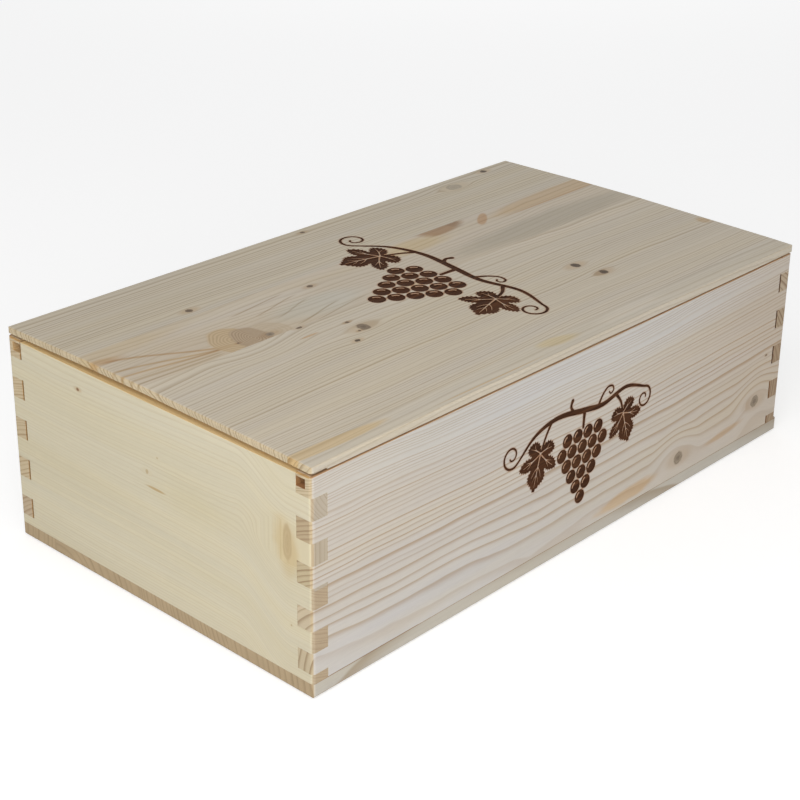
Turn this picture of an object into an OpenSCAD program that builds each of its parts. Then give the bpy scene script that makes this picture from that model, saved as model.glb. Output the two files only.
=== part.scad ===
// Wooden box for two bottles, with a lid that slides out over the lower one of its ends.
// The sides and ends meet in finger joints and stand on an edge-glued bottom. The lid is
// edge-glued too. A slot in each long edge leaves a tongue that runs in the side's groove,
// while the wood above the slot covers the side.
// X runs along the box, and the lid slides out towards +X. Y runs across it. Z is up.
// The origin is the middle of the footprint, on the surface that the box stands on.

/* [Box] */
// Length over the two ends
box_l = 340.5; // [260:0.5:420]
// Width over the two long sides
box_w = 193; // [160:0.5:260]
// Height of the long sides, above the bottom boards
side_h = 93.8; // [70:0.1:140]
// Thickness of the long sides and the ends
wall_t = 8.5; // [7.5:0.1:12]
// How much lower the closed end is than the long sides
closed_drop = 0.7; // [0:0.1:1.2]
// Rounding of the upright outer edges
corner_r = 1.8; // [0.4:0.1:2.5]
// Rounding of the long sides' outer top edges
side_edge_r = 0.6; // [0.2:0.1:0.8]
// Rounding of the long sides' top corners, at both ends
tip_r = 1.5; // [0.4:0.1:1.8]

/* [Corner joints] */
// Height of a finger, as near as a whole number of fingers allows
finger_h = 10; // [6:0.5:16]
// Height of the cut-down finger at the foot of each end
foot_finger = 4.4; // [2:0.1:8]
// Height of the topmost finger of the long sides, which the groove runs through
top_finger = 9.4; // [8.5:0.1:14]
// Gap at the root of a socket that was cut deeper than the finger is long
root_gap = 0.8; // [0.1:0.05:1]
// Gap at the root of a socket that fits its finger
tight_gap = 0.05; // [0:0.01:0.2]

/* [Groove for the lid] */
// Depth of the groove in the inner face of each long side
groove_d = 5; // [3:0.1:5.5]
// Height of the groove
groove_h = 4.3; // [3.4:0.1:5]
// Height of the lip above the groove
lip_h = 1.9; // [1.2:0.1:2.5]

/* [Lid] */
// Thickness of the lid above its slots, which shows over the long sides
cover_t = 3.55; // [3:0.05:6]
// Thickness of the lid's end, where it lies over the closed end
flange_t = 2.9; // [2:0.1:3]
// Rise of the middle of the lid, which has cupped a little
lid_rise = 1.3; // [0:0.1:2.5]
// How far the lid reaches past the opening end
lid_proud = 0.8; // [0:0.1:3]
// Rounding of the lid's upper edges
lid_edge_r = 1; // [0.3:0.1:1.4]
// Width of the narrow board at the lid's front edge
lid_strip_w = 13; // [12:0.5:30]
// Width of the wide board next to it
lid_wide_w = 86.1; // [60:0.1:90]
// Width of the knotty board behind that
lid_knotty_w = 43.2; // [30:0.1:44]

/* [Running gaps of the lid] */
// Gap between the lip and the top of the lid's slot
lip_gap = 0.65; // [0.3:0.05:1]
// Gap between the lip and the lid's tongue below it
tongue_gap = 0.45; // [0.3:0.05:0.8]
// Gap between the tongue and the floor of the groove
floor_gap = 0.1; // [0.05:0.01:0.3]
// Gap between the lid and each side, sideways
edge_gap = 0.4; // [0.2:0.05:0.8]
// Gap between the closed end and the shoulder of the shut lid
stop_gap = 0.2; // [0.1:0.05:0.5]
// Gap between the opening end and the lid that passes over it
sill_gap = 0.4; // [0.3:0.05:1]

/* [Bottom] */
// Thickness of the bottom boards
bottom_t = 7; // [5:0.1:12]
// How far the bottom boards stand out past the opening end
bottom_proud = 1.5; // [0:0.1:3]
// Rounding of the bottom's lower edges
foot_edge_r = 1.5; // [0.3:0.1:2]
// Width of the narrow board at the back of the bottom
bottom_strip_w = 25; // [16:0.5:30]
// Width of the board in front of it
bottom_rear_w = 60; // [40:0.5:62]
// Width of the next board, the front board taking what is left
bottom_mid_w = 57; // [40:0.5:58]

/* [Pins] */
// Length of the pins that hold the bottom
pin_l = 20; // [14:1:28]
// Diameter of a pin's shank
pin_d = 1.2; // [1:0.1:1.8]
// Diameter of a pin's head
pin_head_d = 2.4; // [2:0.1:3.2]
// Thickness of a pin's head
pin_head_t = 0.8; // [0.5:0.1:1.2]
// How deep the heads are punched below the surface
pin_sunk = 0.3; // [0.2:0.1:0.8]
// All-round gap between a pin and the wood
pin_fit = 0.02; // [0.01:0.01:0.08]
// Number of pins in each long side
side_pins = 5; // [3:1:8]
// Distance from the ends to the first pin of a long side
pin_inset = 30; // [20:1:60]

/* [Hidden] */

pale = [0.83, 0.80, 0.68];
grey = [0.76, 0.73, 0.68];
tan = [0.72, 0.66, 0.54];
dull = [0.68, 0.63, 0.55];
steel = [0.55, 0.55, 0.56];

// A cutting shape reaches this far past the face that it opens
past = 1;

// Half of each overall size
half_l = box_l / 2;
half_w = box_w / 2;
inner_w = half_w - wall_t;
inner_l = half_l - wall_t;

// The finger joints: pairs of a side finger and an end finger lie between the foot and the top
pairs = max(1, round((side_h - foot_finger - top_finger) / (2 * finger_h)));
pitch = (side_h - foot_finger - top_finger) / (2 * pairs);

// Heights above the ground
side_top = bottom_t + side_h;
groove_top = side_top - lip_h;
groove_floor = groove_top - groove_h;
closed_top = side_top - closed_drop;
opening_top = groove_floor + floor_gap - sill_gap;
lid_top = side_top + lip_gap + cover_t;
lid_t = lid_top - groove_floor - floor_gap;
slot_top = side_top + lip_gap;
slot_floor = groove_top - tongue_gap;

// Places across the lid's front edge, measured from the middle of the box
slot_y = inner_w - edge_gap;
tongue_y = inner_w + groove_d - edge_gap;

// The boards' edges, from the front to the back
lid_seams = [
    -half_w,
    -half_w + lid_strip_w,
    -half_w + lid_strip_w + lid_wide_w,
    -half_w + lid_strip_w + lid_wide_w + lid_knotty_w,
    half_w
];
bottom_seams = [
    -half_w,
    half_w - bottom_strip_w - bottom_rear_w - bottom_mid_w,
    half_w - bottom_strip_w - bottom_rear_w,
    half_w - bottom_strip_w,
    half_w
];

$fn = 48;

// Foot and top of an end's finger, above the foot of the side, counted upwards from 0
function end_finger(k) =
    k == 0 ? [0, foot_finger] : [foot_finger + (2 * k - 1) * pitch, foot_finger + 2 * k * pitch];

// Foot and top of a long side's finger; the topmost is open upwards in the end's outline
function side_finger(k) =
    [foot_finger + 2 * k * pitch, k == pairs ? side_h + past : foot_finger + (2 * k + 1) * pitch];

// How far the cupped lid has risen at a place across it
function rise_at(y) = lid_rise * (1 - pow(y / half_w, 2));

// Rectangle that takes the rounding off a corner at the origin, towards +X and +Y
module corner_cut(r) {
    difference() {
        translate([-r, -r]) square(r + past);
        translate([-r, -r]) circle(r);
    }
}

// Footprint with rounded corners, reaching to +X by a bit more where a board stands proud
module footprint(proud, r) {
    difference() {
        translate([-half_l, -half_w]) square([box_l + proud, box_w]);
        for (end = [0, 1], side = [0, 1])
            translate([end ? half_l + proud : -half_l, side ? half_w : -half_w])
                mirror([1 - end, 0])
                    mirror([0, 1 - side])
                        corner_cut(r);
    }
}

// Upright column that rounds the outer corners of whatever it meets
module column(proud, r) {
    translate([0, 0, -past])
        linear_extrude(lid_top + lid_rise + 2 * past)
            footprint(proud, r);
}

// One pin with its head down, grown by a gap when it cuts its own hole
module pin(gap = 0) {
    translate([0, 0, pin_sunk]) cylinder(h = pin_l, d = pin_d + 2 * gap);
    if (gap > 0)
        translate([0, 0, -past]) cylinder(h = past + pin_sunk + pin_head_t, d = pin_head_d + 2 * gap);
    else
        translate([0, 0, pin_sunk]) cylinder(h = pin_head_t, d = pin_head_d);
}

// Pins up into the long sides, and one from each bottom board up into each end
module all_pins(gap = 0) {
    step = (box_l - 2 * pin_inset) / (side_pins - 1);
    for (side = [-1, 1], k = [0 : side_pins - 1])
        translate([-half_l + pin_inset + k * step, side * (half_w - wall_t / 2), 0])
            pin(gap);
    for (end = [-1, 1], k = [0 : 3]) {
        front = max(bottom_seams[k], -inner_w);
        back = min(bottom_seams[k + 1], inner_w);
        translate([end * (half_l - wall_t / 2), (front + back) / 2, 0])
            pin(gap);
    }
}

// Outline of a long side seen from the front, with a socket for each finger of the ends and
// rounded top corners
module side_outline(closed_gap, opening_gap) {
    difference() {
        translate([-half_l, 0]) square([box_l, side_h]);
        for (k = [0 : pairs]) {
            finger = end_finger(k);
            foot = k == 0 ? -past : finger[0];
            translate([-half_l - past, foot])
                square([past + wall_t + closed_gap, finger[1] - foot]);
            translate([half_l - wall_t - opening_gap, foot])
                square([past + wall_t + opening_gap, finger[1] - foot]);
        }
        for (end = [0, 1])
            translate([end ? half_l : -half_l, side_h])
                mirror([1 - end, 0])
                    corner_cut(tip_r);
    }
}

// Long side standing at the front: outline, groove, softened top edge and pin holes
module long_side(closed_gap, opening_gap) {
    intersection() {
        difference() {
            translate([0, -half_w + wall_t, bottom_t])
                rotate([90, 0, 0])
                    linear_extrude(wall_t)
                        side_outline(closed_gap, opening_gap);
            translate([-half_l - past, -inner_w - groove_d, groove_floor])
                cube([box_l + 2 * past, groove_d + past, groove_h]);
            translate([-half_l - past, -half_w, side_top])
                rotate([90, 0, 90])
                    linear_extrude(box_l + 2 * past)
                        mirror([1, 0]) corner_cut(side_edge_r);
            all_pins(pin_fit);
        }
        column(0, corner_r);
    }
}

// Outline of an end seen along the box, with a socket for each finger of the long sides
module end_outline(top, front_gap, back_gap) {
    difference() {
        translate([-half_w, 0]) square([box_w, top - bottom_t]);
        for (k = [0 : pairs]) {
            finger = side_finger(k);
            translate([-half_w - past, finger[0]])
                square([past + wall_t + front_gap, finger[1] - finger[0]]);
            translate([half_w - wall_t - back_gap, finger[0]])
                square([past + wall_t + back_gap, finger[1] - finger[0]]);
        }
    }
}

// End standing with its inner face on the plane of the given X
module end_board(x, top, front_gap, back_gap) {
    intersection() {
        difference() {
            translate([x, 0, bottom_t])
                rotate([90, 0, 90])
                    linear_extrude(wall_t)
                        end_outline(top, front_gap, back_gap);
            all_pins(pin_fit);
        }
        column(0, corner_r);
    }
}

// Front long side: its sockets fit at the closed end and are too deep at the opening end
module front_side() {
    color(grey) long_side(tight_gap, root_gap);
}

// Back long side: the same board turned round, with deep sockets at both ends
module back_side() {
    color(grey) mirror([0, 1, 0]) long_side(root_gap, root_gap);
}

// Closed end: as high as the long sides but for a little, and the lid's flange lies over it
module closed_end() {
    color(pale) end_board(-half_l, closed_top, tight_gap, root_gap);
}

// Opening end: lower than the grooves, so that the lid slides out above it
module opening_end() {
    color(pale) end_board(inner_l, opening_top, root_gap, root_gap);
}

// Bottom board between two seams, its outer edges softened underneath
module bottom_board(n) {
    front = bottom_seams[n - 1];
    back = bottom_seams[n];
    color(tan)
        difference() {
            intersection() {
                translate([-half_l - past, front, 0])
                    cube([box_l + bottom_proud + 2 * past, back - front, bottom_t]);
                column(bottom_proud, corner_r);
            }
            for (side = [0, 1])
                mirror([0, side, 0])
                    translate([-half_l - past, half_w, 0])
                        rotate([90, 0, 90])
                            linear_extrude(box_l + bottom_proud + 2 * past)
                                mirror([0, 1]) corner_cut(foot_edge_r);
            translate([-half_l, half_w + past, 0])
                rotate([90, 0, 0])
                    linear_extrude(box_w + 2 * past)
                        mirror([1, 0]) mirror([0, 1]) corner_cut(foot_edge_r);
            translate([half_l + bottom_proud, half_w + past, 0])
                rotate([90, 0, 0])
                    linear_extrude(box_w + 2 * past)
                        mirror([0, 1]) corner_cut(foot_edge_r);
            all_pins(pin_fit);
        }
}

// Steel pins driven up through the bottom boards
module bottom_pins() {
    color(steel) all_pins();
}

// Section along the lid, its top at height 0: the flange over the closed end, then full thickness
module lid_section() {
    flange_l = wall_t + stop_gap;
    difference() {
        translate([-half_l, -lid_t]) square([box_l + lid_proud, lid_t]);
        translate([-half_l - past, -lid_t - past])
            square([past + flange_l, past + lid_t - flange_t]);
        translate([-half_l, 0]) mirror([1, 0]) corner_cut(lid_edge_r);
        translate([half_l + lid_proud, 0]) corner_cut(lid_edge_r);
    }
}

// What is cut from each long edge of the lid: the slot for the lip, and the wood outside the tongue
module lid_edge_cut() {
    translate([-half_l - past, 0, 0])
        rotate([90, 0, 90])
            linear_extrude(box_l + lid_proud + 2 * past)
                polygon([
                    [slot_y, slot_floor], [slot_y, slot_top], [half_w + past, slot_top],
                    [half_w + past, groove_floor - past], [tongue_y, groove_floor - past],
                    [tongue_y, slot_floor]
                ]);
}

// Lid board between two seams, flat but tilted, as the cupped lid holds it
module lid_board(n) {
    front = lid_seams[n - 1];
    back = lid_seams[n];
    climb = rise_at(back) - rise_at(front);
    tilt = atan2(climb, back - front);
    color(dull)
        intersection() {
            difference() {
                translate([0, front, lid_top + rise_at(front)])
                    rotate([tilt, 0, 0])
                        translate([0, back - front + past, 0])
                            rotate([90, 0, 0])
                                linear_extrude(back - front + 2 * past)
                                    lid_section();
                for (side = [0, 1])
                    mirror([0, side, 0]) {
                        lid_edge_cut();
                        translate([-half_l - past, half_w, lid_top])
                            rotate([90, 0, 90])
                                linear_extrude(box_l + lid_proud + 2 * past)
                                    corner_cut(lid_edge_r);
                    }
            }
            translate([-half_l - past, front, 0])
                cube([box_l + lid_proud + 2 * past, back - front, lid_top + lid_rise + past]);
            column(lid_proud, corner_r);
        }
}

front_side();
back_side();
closed_end();
opening_end();
for (n = [1 : 4])
    bottom_board(n);
bottom_pins();
for (n = [1 : 4])
    lid_board(n);
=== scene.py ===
import math

import bmesh
import bpy
import numpy as np
from mathutils import Matrix, Vector, geometry, kdtree


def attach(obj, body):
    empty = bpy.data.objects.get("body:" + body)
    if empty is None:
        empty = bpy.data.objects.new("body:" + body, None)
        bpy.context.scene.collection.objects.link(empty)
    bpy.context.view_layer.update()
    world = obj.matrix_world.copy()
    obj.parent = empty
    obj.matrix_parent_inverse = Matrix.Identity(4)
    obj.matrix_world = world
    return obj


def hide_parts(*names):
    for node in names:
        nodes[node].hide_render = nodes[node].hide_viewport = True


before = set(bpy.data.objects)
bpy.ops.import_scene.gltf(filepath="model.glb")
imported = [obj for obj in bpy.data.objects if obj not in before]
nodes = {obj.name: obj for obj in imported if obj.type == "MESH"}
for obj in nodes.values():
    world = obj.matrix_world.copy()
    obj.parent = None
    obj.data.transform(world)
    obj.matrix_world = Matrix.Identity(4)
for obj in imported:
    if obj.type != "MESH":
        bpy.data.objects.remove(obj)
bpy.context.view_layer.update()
MM = 0.001


# ---- Studio: a white floor and surround, three soft lamps on the left and one behind ----
# The floor keeps the box's shadow. Part of its white is given to the camera alone, so that
# no extra light reaches the wood.

def plain_floor():
    mesh = bpy.data.meshes.new("floor")
    reach = 6.0
    mesh.from_pydata([(-reach, -reach, 0), (reach, -reach, 0), (reach, reach, 0), (-reach, reach, 0)],
                     [], [(0, 1, 2, 3)])
    floor = bpy.data.objects.new("floor", mesh)
    bpy.context.scene.collection.objects.link(floor)
    floor.location.z = -0.0002
    paint = bpy.data.materials.new("floor_paint")
    paint.use_nodes = True
    tree = paint.node_tree
    tree.nodes.clear()
    out = tree.nodes.new("ShaderNodeOutputMaterial")
    matt = tree.nodes.new("ShaderNodeBsdfDiffuse")
    matt.inputs["Color"].default_value = (0.66, 0.66, 0.66, 1)
    glow = tree.nodes.new("ShaderNodeEmission")
    glow.inputs["Color"].default_value = (1, 1, 1, 1)
    path = tree.nodes.new("ShaderNodeLightPath")
    lift = tree.nodes.new("ShaderNodeMath")
    lift.operation = "MULTIPLY"
    lift.inputs[1].default_value = 0.5
    both = tree.nodes.new("ShaderNodeAddShader")
    tree.links.new(path.outputs["Is Camera Ray"], lift.inputs[0])
    tree.links.new(lift.outputs[0], glow.inputs["Strength"])
    tree.links.new(matt.outputs[0], both.inputs[0])
    tree.links.new(glow.outputs[0], both.inputs[1])
    tree.links.new(both.outputs[0], out.inputs["Surface"])
    mesh.materials.append(paint)


def white_surround():
    world = bpy.data.worlds.new("surround")
    world.use_nodes = True
    bpy.context.scene.world = world
    tree = world.node_tree
    tree.nodes.clear()
    out = tree.nodes.new("ShaderNodeOutputWorld")
    air = tree.nodes.new("ShaderNodeBackground")
    air.inputs["Color"].default_value = (0.985, 0.99, 1.0, 1)
    path = tree.nodes.new("ShaderNodeLightPath")
    seen = tree.nodes.new("ShaderNodeMath")
    seen.operation = "MAXIMUM"
    level = tree.nodes.new("ShaderNodeMapRange")
    level.inputs["To Min"].default_value = 0.48
    level.inputs["To Max"].default_value = 1.0
    tree.links.new(path.outputs["Is Camera Ray"], seen.inputs[0])
    tree.links.new(path.outputs["Is Transmission Ray"], seen.inputs[1])
    tree.links.new(seen.outputs[0], level.inputs["Value"])
    tree.links.new(level.outputs[0], air.inputs["Strength"])
    tree.links.new(air.outputs[0], out.inputs["Surface"])


def soft_lamp(name, place, aim, size, power, tint):
    lamp = bpy.data.lights.new(name, "AREA")
    lamp.shape = "RECTANGLE"
    lamp.size, lamp.size_y = size
    lamp.energy = power
    lamp.color = tint
    holder = bpy.data.objects.new(name, lamp)
    holder.location = place
    holder.rotation_euler = (Vector(aim) - Vector(place)).to_track_quat("-Z", "Y").to_euler()
    bpy.context.scene.collection.objects.link(holder)


def photo_camera():
    lens = bpy.data.cameras.new("camera")
    lens.sensor_width = 36.0
    lens.lens = 81.04
    lens.shift_x = -0.0805
    lens.shift_y = -0.0709
    lens.clip_start, lens.clip_end = 0.02, 50.0
    camera = bpy.data.objects.new("camera", lens)
    ahead = Vector((0.69267, 0.59838, -0.40267)).normalized()
    right = Vector((0.66208, -0.74899, 0.02589)).normalized()
    up = right.cross(ahead).normalized()
    right = ahead.cross(up)
    turn = Matrix((right, up, -ahead)).transposed()
    camera.matrix_world = Matrix.Translation((-0.5905, -0.5345, 0.4244)) @ turn.to_4x4()
    bpy.context.scene.collection.objects.link(camera)
    bpy.context.scene.camera = camera


plain_floor()
white_surround()
soft_lamp("lamp_left", (-1.15, -0.95, 0.40), (-0.10, 0.0, 0.05), (0.9, 0.65), 6.2, (1.0, 0.99, 0.975))
soft_lamp("lamp_high", (-0.75, -0.35, 0.75), (-0.10, 0.0, 0.10), (0.7, 0.65), 3.7, (1.0, 0.985, 0.96))
soft_lamp("lamp_front", (-0.45, -1.10, 0.35), (-0.05, 0.0, 0.05), (0.9, 0.55), 2.6, (1.0, 0.99, 0.985))
soft_lamp("lamp_behind", (1.25, 1.10, 0.45), (0.05, 0.0, 0.05), (0.9, 0.7), 2.2, (1.0, 0.99, 0.98))
photo_camera()
bpy.context.scene.view_settings.view_transform = "Standard"


# ---- Long sides: one planed spruce board each, finger-jointed at both ends ----
# Each stands on edge, with its grain along the box. The groove for the lid runs its whole
# length, the fingers' ends show end grain, and a vine is burnt into the front one.

def colour(r, g, b):
    """A colour read off as 0 to 255 becomes the linear value that a shader takes."""
    def one(c):
        c /= 255
        return c / 12.92 if c <= 0.04045 else ((c + 0.055) / 1.055) ** 2.4
    return (one(r), one(g), one(b), 1.0)


def feed(tree, socket, value):
    if isinstance(value, bpy.types.NodeSocket):
        tree.links.new(value, socket)
    elif value is not None:
        socket.default_value = value


def calc(tree, operation, *values, clamp=False):
    node = tree.nodes.new("ShaderNodeMath")
    node.operation = operation
    node.use_clamp = clamp
    for socket, value in zip(node.inputs, values):
        feed(tree, socket, value)
    return node.outputs[0]


def vectors(tree, operation, *values):
    node = tree.nodes.new("ShaderNodeVectorMath")
    node.operation = operation
    for socket, value in zip(node.inputs, values):
        feed(tree, socket, value)
    return node.outputs["Value" if operation in ("DOT_PRODUCT", "LENGTH") else "Vector"]


def ease(tree, value, low, high, start=0.0, end=1.0):
    """Goes smoothly from start to end while the value goes from low to high."""
    node = tree.nodes.new("ShaderNodeMapRange")
    node.interpolation_type = "SMOOTHSTEP"
    for title, v in (("Value", value), ("From Min", low), ("From Max", high), ("To Min", start), ("To Max", end)):
        feed(tree, node.inputs[title], v)
    return node.outputs[0]


def split(tree, vector):
    node = tree.nodes.new("ShaderNodeSeparateXYZ")
    feed(tree, node.inputs[0], vector)
    return node.outputs


def join(tree, x, y, z):
    node = tree.nodes.new("ShaderNodeCombineXYZ")
    for socket, value in zip(node.inputs, (x, y, z)):
        feed(tree, socket, value)
    return node.outputs[0]


def noise(tree, place, stretch, detail=2.0, rough=0.5, want="Fac", seed=None):
    """Smooth noise whose lumps are as long, in millimetres, as the stretch says."""
    scaled = vectors(tree, "MULTIPLY", place, tuple(1 / s for s in stretch))
    node = tree.nodes.new("ShaderNodeTexNoise")
    node.noise_dimensions = "4D"
    node.inputs["Scale"].default_value = 1.0
    node.inputs["Detail"].default_value = detail
    node.inputs["Roughness"].default_value = rough
    feed(tree, node.inputs["Vector"], scaled)
    feed(tree, node.inputs["W"], 0.0 if seed is None else seed)
    return node.outputs[want]


def blended(tree, amount, below, above, kind="MIX"):
    node = tree.nodes.new("ShaderNodeMix")
    node.data_type = "RGBA"
    node.blend_type = kind
    feed(tree, node.inputs[0], amount)
    feed(tree, node.inputs[6], below)
    feed(tree, node.inputs[7], above)
    return node.outputs[2]


def effect(name, inputs, outputs):
    """An empty shader group with named sockets, its input and its output sockets."""
    tree = bpy.data.node_groups.new(name, "ShaderNodeTree")
    for title, kind, value in inputs:
        socket = tree.interface.new_socket(title, in_out="INPUT", socket_type="NodeSocket" + kind)
        socket.default_value = value
    for title, kind in outputs:
        tree.interface.new_socket(title, in_out="OUTPUT", socket_type="NodeSocket" + kind)
    return tree, tree.nodes.new("NodeGroupInput").outputs, tree.nodes.new("NodeGroupOutput").inputs


def place_effect(tree, group, **values):
    node = tree.nodes.new("ShaderNodeGroup")
    node.node_tree = group
    for title, value in values.items():
        feed(tree, node.inputs[title.replace("_", " ")], value)
    return node.outputs


def softwood_effect():
    """Planed spruce: year rings round a heart, fibres, end grain and softened arrises.
    Place is in millimetres: along the grain, across the board, and down into it."""
    tree, given, result = effect("planed_softwood", [
        ("Place", "Vector", (0, 0, 0)), ("Normal", "Vector", (0, 0, 1)), ("Grain", "Vector", (1, 0, 0)),
        ("Heart", "Vector", (170, 50, 60)), ("Ring Width", "Float", 1.9), ("Belly", "Float", 0.0),
        ("Sway", "Float", 2.0), ("Seed", "Float", 0.0), ("Contrast", "Float", 1.0), ("Tighten", "Float", 0.0),
        ("Early", "Color", (1, 1, 1, 1)), ("Late", "Color", (1, 1, 1, 1)),
        ("End Early", "Color", (1, 1, 1, 1)), ("End Late", "Color", (1, 1, 1, 1)),
    ], [("Color", "Color"), ("Roughness", "Float"), ("Height", "Float"), ("Fibre", "Float")])
    place, seed = given["Place"], given["Seed"]
    # rings: the distance from the heart, bent a little along the board, cut into years
    bend = noise(tree, place, (95, 34, 60), 3.0, 0.42, "Color", seed)
    bend = vectors(tree, "SUBTRACT", bend, (0.5, 0.5, 0.5))
    bend = vectors(tree, "MULTIPLY", bend, join(tree, 0.0, given["Sway"], given["Sway"]))
    bent = vectors(tree, "ADD", place, vectors(tree, "MULTIPLY", bend, (2, 2, 2)))
    away = split(tree, vectors(tree, "SUBTRACT", bent, given["Heart"]))
    radius = vectors(tree, "LENGTH", join(tree, 0.0, away[1], away[2]))
    along = calc(tree, "MULTIPLY", away[0], 0.01)
    radius = calc(tree, "MULTIPLY_ADD", calc(tree, "MULTIPLY", along, along), given["Belly"], radius)
    years = calc(tree, "DIVIDE", radius, given["Ring Width"])
    tighter = calc(tree, "MULTIPLY", radius, calc(tree, "MULTIPLY", given["Tighten"], 0.01))
    years = calc(tree, "MULTIPLY", years, calc(tree, "ADD", tighter, 1.0))
    uneven = tree.nodes.new("ShaderNodeTexNoise")
    uneven.noise_dimensions = "1D"
    uneven.inputs["Scale"].default_value = 0.31
    uneven.inputs["Detail"].default_value = 1.0
    feed(tree, uneven.inputs["W"], calc(tree, "ADD", years, calc(tree, "MULTIPLY", seed, 7.3)))
    years = calc(tree, "MULTIPLY_ADD", uneven.outputs["Fac"], 1.7, years)
    part = calc(tree, "FRACT", years)
    whole = calc(tree, "FLOOR", years)
    rise = ease(tree, part, 0.38, 0.93)
    fall = ease(tree, part, 0.93, 1.0, 1.0, 0.0)
    late = calc(tree, "MULTIPLY", calc(tree, "POWER", rise, 1.9), fall)
    chance = tree.nodes.new("ShaderNodeTexWhiteNoise")
    chance.noise_dimensions = "1D"
    feed(tree, chance.inputs["W"], calc(tree, "ADD", whole, seed))
    year_tone = chance.outputs["Value"]
    strength = calc(tree, "MULTIPLY_ADD", year_tone, 0.7, 0.3)
    late = calc(tree, "MULTIPLY", late, strength)
    # fibres, and broad changes of tone and of warmth
    streak = noise(tree, place, (52, 0.8, 0.8), 4.0, 0.62, "Fac", seed)
    fleck = noise(tree, place, (6, 0.3, 0.3), 2.0, 0.6, "Fac", seed)
    cloud = noise(tree, place, (130, 16, 16), 2.0, 0.5, "Fac", calc(tree, "ADD", seed, 3.7))
    warmth = noise(tree, place, (170, 11, 11), 2.0, 0.55, "Fac", calc(tree, "ADD", seed, 9.1))
    flatness = calc(tree, "DIVIDE", calc(tree, "ABSOLUTE", away[2]), calc(tree, "MAXIMUM", radius, 1.0))
    seen_late = calc(tree, "MULTIPLY", late, ease(tree, flatness, 0.84, 1.0, 1.0, 0.3))
    on_face = calc(tree, "MULTIPLY", seen_late, given["Contrast"], clamp=True)
    face = blended(tree, on_face, given["Early"], given["Late"])
    light = calc(tree, "MULTIPLY_ADD", streak, 0.17, 0.915)
    light = calc(tree, "MULTIPLY_ADD", calc(tree, "SUBTRACT", fleck, 0.5), 0.15, light)
    light = calc(tree, "MULTIPLY_ADD", calc(tree, "SUBTRACT", cloud, 0.5), 0.15, light)
    light = calc(tree, "MULTIPLY_ADD", calc(tree, "SUBTRACT", year_tone, 0.5), 0.03, light)
    warm = calc(tree, "SUBTRACT", warmth, 0.5)
    tint = join(tree, calc(tree, "MULTIPLY_ADD", warm, 0.05, light), calc(tree, "MULTIPLY_ADD", warm, -0.01, light),
                calc(tree, "MULTIPLY_ADD", warm, -0.22, light))
    face = blended(tree, 1.0, face, tint, "MULTIPLY")
    # end grain: darker, with sharper rings and open pores
    grain = noise(tree, place, (0.5, 0.33, 0.33), 2.0, 0.6, "Fac", seed)
    sharp = calc(tree, "MULTIPLY", calc(tree, "POWER", late, 0.8), 1.1, clamp=True)
    end = blended(tree, sharp, given["End Early"], given["End Late"])
    dark = calc(tree, "MULTIPLY_ADD", calc(tree, "SUBTRACT", grain, 0.5), 0.3, 1.0)
    dark = calc(tree, "MULTIPLY_ADD", calc(tree, "SUBTRACT", cloud, 0.5), 0.2, dark)
    end = blended(tree, 1.0, end, join(tree, dark, dark, dark), "MULTIPLY")
    along_grain = calc(tree, "ABSOLUTE", vectors(tree, "DOT_PRODUCT", given["Normal"], given["Grain"]))
    is_end = ease(tree, along_grain, 0.45, 0.75)
    wood = blended(tree, is_end, face, end)
    # arrises: a touch warmer where the sharp edge is broken
    flat = split(tree, vectors(tree, "ABSOLUTE", given["Normal"]))
    facing = calc(tree, "MAXIMUM", calc(tree, "MAXIMUM", flat[0], flat[1]), flat[2])
    arris = ease(tree, facing, 0.80, 0.985, 1.0, 0.0)
    wood = blended(tree, calc(tree, "MULTIPLY", arris, 0.22), wood, blended(tree, 1.0, wood, (0.93, 0.83, 0.66, 1),
                                                                            "MULTIPLY"))
    tree.links.new(wood, result["Color"])
    rough = calc(tree, "MULTIPLY_ADD", streak, 0.16, 0.52)
    tree.links.new(calc(tree, "MULTIPLY_ADD", is_end, 0.2, rough), result["Roughness"])
    height = calc(tree, "MULTIPLY_ADD", late, 0.05, calc(tree, "MULTIPLY", fleck, 0.05))
    height = calc(tree, "MULTIPLY_ADD", calc(tree, "MULTIPLY", grain, is_end), 0.12, height)
    tree.links.new(height, result["Height"])
    tree.links.new(calc(tree, "MULTIPLY_ADD", late, 0.5, streak), result["Fibre"])
    return tree


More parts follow.
